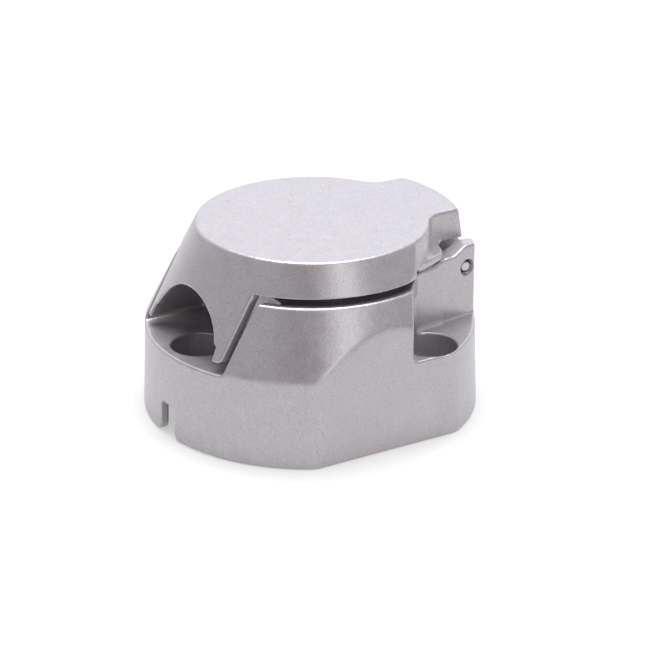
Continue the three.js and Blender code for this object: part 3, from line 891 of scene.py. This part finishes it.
def repeated(nodes, places, shape, step, material, slot):
    """Like small pieces that share a mesh, one for each CAD node."""
    g = room(nodes[0], step, centred=True)
    mesh = carved("socket_" + shape.__name__, shape(g), g)
    for node, (x, y) in zip(nodes, places):
        piece = link("socket_" + node, mesh)
        piece.location = (x * MM, y * MM, 0)
        dress(piece, material, slot, "housing", node)


FINE = 0.16
FINEST = 0.1
single("hinge_pin", hinge_pin, 0.12, steel, "steel")
single("contact_insert", contact_insert, 0.26, plastic, "black_plastic")
single("lid_seal", lid_seal, 0.26, rubber, "rubber", "lid")
single("rear_seal", rear_seal, 0.26, rubber, "rubber")
sleeves = [f"contact_sleeve_{i + 1}" for i in range(6)]
repeated(sleeves, contact_places(), contact_sleeve, FINE, brass, "brass")
repeated(["contact_pin_7"], [(0, BARREL_Y)], contact_pin, FINE, brass, "brass")
terminals = [f"terminal_screw_{i + 1}" for i in range(7)]
repeated(terminals, contact_places(), terminal_screw, FINEST, brass, "brass")
fixings = [f"insert_screw_{i + 1}" for i in range(3)]
repeated(fixings, insert_screw_places(), insert_screw, FINEST, steel, "steel")

spring = link("socket_lid_spring", spring_mesh())
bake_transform(spring)
dress(spring, steel, "steel", None, "lid_spring")

# ---------- floor, light and camera ----------

CAMERA_AZIMUTH = 58.894
CAMERA_ELEVATION = 23.662
CAMERA_DISTANCE = 0.720058
CAMERA_TARGET = Vector((0, 0.003521, 0.018751))
FOCAL_LENGTH = 167.33


def bearing(azimuth, elevation):
    """Unit vector at an azimuth from -Y towards +X and an elevation, both in degrees."""
    a, e = math.radians(azimuth), math.radians(elevation)
    return Vector((math.sin(a) * math.cos(e), -math.cos(a) * math.cos(e), math.sin(e)))


def make_camera():
    """The camera looks at the socket's front right side, from a little above it."""
    back = bearing(CAMERA_AZIMUTH, CAMERA_ELEVATION)
    data = bpy.data.cameras.new("camera")
    data.sensor_width = 36
    data.lens = FOCAL_LENGTH
    data.clip_start = 0.01
    camera = bpy.data.objects.new("camera", data)
    bpy.context.scene.collection.objects.link(camera)
    camera.rotation_mode = "QUATERNION"
    camera.location = CAMERA_TARGET + back * CAMERA_DISTANCE
    camera.rotation_quaternion = (-back).to_track_quat("-Z", "Y")
    bpy.context.scene.camera = camera


def make_floor():
    bpy.ops.mesh.primitive_plane_add(size=6, location=(0, 0, -0.0001))
    floor = bpy.context.active_object
    floor.name = "floor"
    n = Nodes("floor_paper")
    n.feed(n.shader, Base_Color=(0.35, 0.35, 0.35, 1), Roughness=0.9, Emission_Color=(1, 1, 1, 1))
    n.feed(n.shader, Emission_Strength=0.48)
    floor.data.materials.append(n.material)


def make_light(name, azimuth, elevation, distance, size, power):
    back = bearing(azimuth, elevation)
    data = bpy.data.lights.new(name, "AREA")
    data.shape = "RECTANGLE"
    data.size, data.size_y = size
    data.energy = power
    lamp = bpy.data.objects.new(name, data)
    bpy.context.scene.collection.objects.link(lamp)
    lamp.rotation_mode = "QUATERNION"
    lamp.location = back * distance
    lamp.rotation_quaternion = back.to_track_quat("Z", "Y")


def ramp(tree, direction, stops):
    """World colour by how far a view direction points along another, from -1 to 1."""
    facing = tree.nodes.new("ShaderNodeVectorMath")
    facing.operation = "DOT_PRODUCT"
    facing.inputs[1].default_value = direction
    place = tree.nodes.new("ShaderNodeTexCoord").outputs["Generated"]
    tree.links.new(place, facing.inputs[0])
    share = tree.nodes.new("ShaderNodeMapRange")
    share.inputs["From Min"].default_value = -1
    share.inputs["From Max"].default_value = 1
    tree.links.new(facing.outputs["Value"], share.inputs["Value"])
    colours = tree.nodes.new("ShaderNodeValToRGB")
    colours.color_ramp.interpolation = "EASE"
    for _ in range(len(stops) - 2):
        colours.color_ramp.elements.new(0.5)
    for element, (position, colour) in zip(colours.color_ramp.elements, stops):
        element.position = position
        element.color = (*colour, 1)
    tree.links.new(share.outputs["Result"], colours.inputs["Fac"])
    return colours.outputs["Color"]


AROUND = (
    (0, (1.32, 1.34, 1.48)),
    (0.15, (1.2, 1.21, 1.34)),
    (0.32, (0.56, 0.56, 0.6)),
    (1, (0.48, 0.46, 0.48)),
)
HEIGHT = ((0, (1, 1, 1)), (0.5, (0.35, 0.34, 0.36)), (0.6, (1, 1, 1)), (1, (1, 1, 1)))
PATCH = ((0, (1, 1, 1)), (0.955, (1, 1, 1)), (0.985, (0.5, 0.4, 0.43)), (1, (0.25, 0.15, 0.18)))
PATCH_ELEVATION = 27


def make_world():
    """A white studio: brightest on the far side, dim at the horizon, a dark patch at the camera."""
    world = bpy.data.worlds.new("studio")
    bpy.context.scene.world = world
    world.use_nodes = True
    tree = world.node_tree
    colour = ramp(tree, bearing(CAMERA_AZIMUTH, 0), AROUND)
    height = ramp(tree, (0, 0, 1), HEIGHT)
    patch = ramp(tree, bearing(CAMERA_AZIMUTH, PATCH_ELEVATION), PATCH)
    for factor in (height, patch):
        product = tree.nodes.new("ShaderNodeMix")
        product.data_type = "RGBA"
        product.blend_type = "MULTIPLY"
        product.inputs[0].default_value = 1
        tree.links.new(colour, product.inputs[6])
        tree.links.new(factor, product.inputs[7])
        colour = product.outputs[2]
    tree.links.new(colour, tree.nodes["Background"].inputs["Color"])


make_camera()
make_floor()
make_world()
make_light("overhead", 240, 84, 0.9, (0.6, 0.6), 11)
make_light("strip", CAMERA_AZIMUTH + 28, 25, 0.9, (0.3, 0.7), 1.15)
bpy.context.scene.view_settings.view_transform = "Standard"
